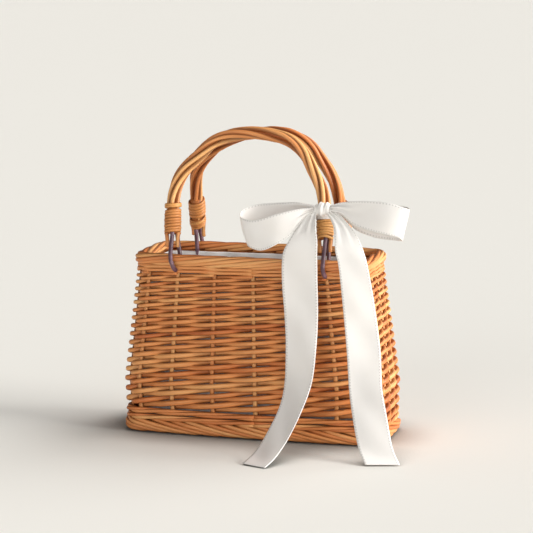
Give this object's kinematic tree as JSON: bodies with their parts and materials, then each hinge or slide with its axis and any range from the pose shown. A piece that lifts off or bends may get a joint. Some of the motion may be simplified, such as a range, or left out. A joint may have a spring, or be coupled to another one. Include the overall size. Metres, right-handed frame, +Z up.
{
  "type": "flower girl basket",
  "caption": "Small rounded-rectangular willow basket with a cloth liner, leaning twisted-rod handles hung on leather thongs, and a satin bow tied on the front handle.",
  "frame": {"origin": "middle of the basket's footprint, on the surface it stands on", "axes": "+X along the width to the basket's right as seen from the bow side, -Y out of the front (the bow side), +Z up"},
  "size_m": [0.2971, 0.2009, 0.2804],
  "materials": {
    "willow": "satin",
    "willow_base": "satin",
    "cane": "satin",
    "thong_leather": "satin",
    "liner_cotton": "matte",
    "ribbon_satin": "satin"
  },
  "bodies": {
    "basket": {"side_stakes": "willow", "woven_wall": "willow", "foot_border": "willow", "upsett_wale": "willow", "top_wale": "willow", "top_border": "willow", "base_sticks": "willow_base", "base_mat": "willow_base", "liner_side": "liner_cotton", "liner_bottom": "liner_cotton"},
    "front_handle": {"front_handle_rods": "willow", "front_left_binding": "cane", "front_left_stubs": "willow", "front_left_thong": "thong_leather", "front_right_binding": "cane", "front_right_stubs": "willow", "front_right_thong": "thong_leather", "front_ribbon_band": "ribbon_satin", "front_ribbon_knot": "ribbon_satin", "front_ribbon_left_loop": "ribbon_satin", "front_ribbon_right_loop": "ribbon_satin", "front_ribbon_left_tail": "ribbon_satin", "front_ribbon_right_tail": "ribbon_satin"},
    "back_handle": {"back_handle_rods": "willow", "back_left_binding": "cane", "back_left_stubs": "willow", "back_left_thong": "thong_leather", "back_right_binding": "cane", "back_right_stubs": "willow", "back_right_thong": "thong_leather"}
  },
  "joints": [
    {"name": "front_handle_swing", "type": "hinge", "parent": "basket", "child": "front_handle", "pos_m": [0, -0.03686, 0.161], "axis": [1, 0, 0], "range_deg": [0, 100], "deforming": ["front_ribbon_left_loop", "front_ribbon_right_loop", "front_ribbon_left_tail", "front_ribbon_right_tail"]},
    {"name": "back_handle_swing", "type": "hinge", "parent": "basket", "child": "back_handle", "pos_m": [0, 0.03686, 0.161], "axis": [-1, 0, 0], "range_deg": [0, 120]}
  ]
}
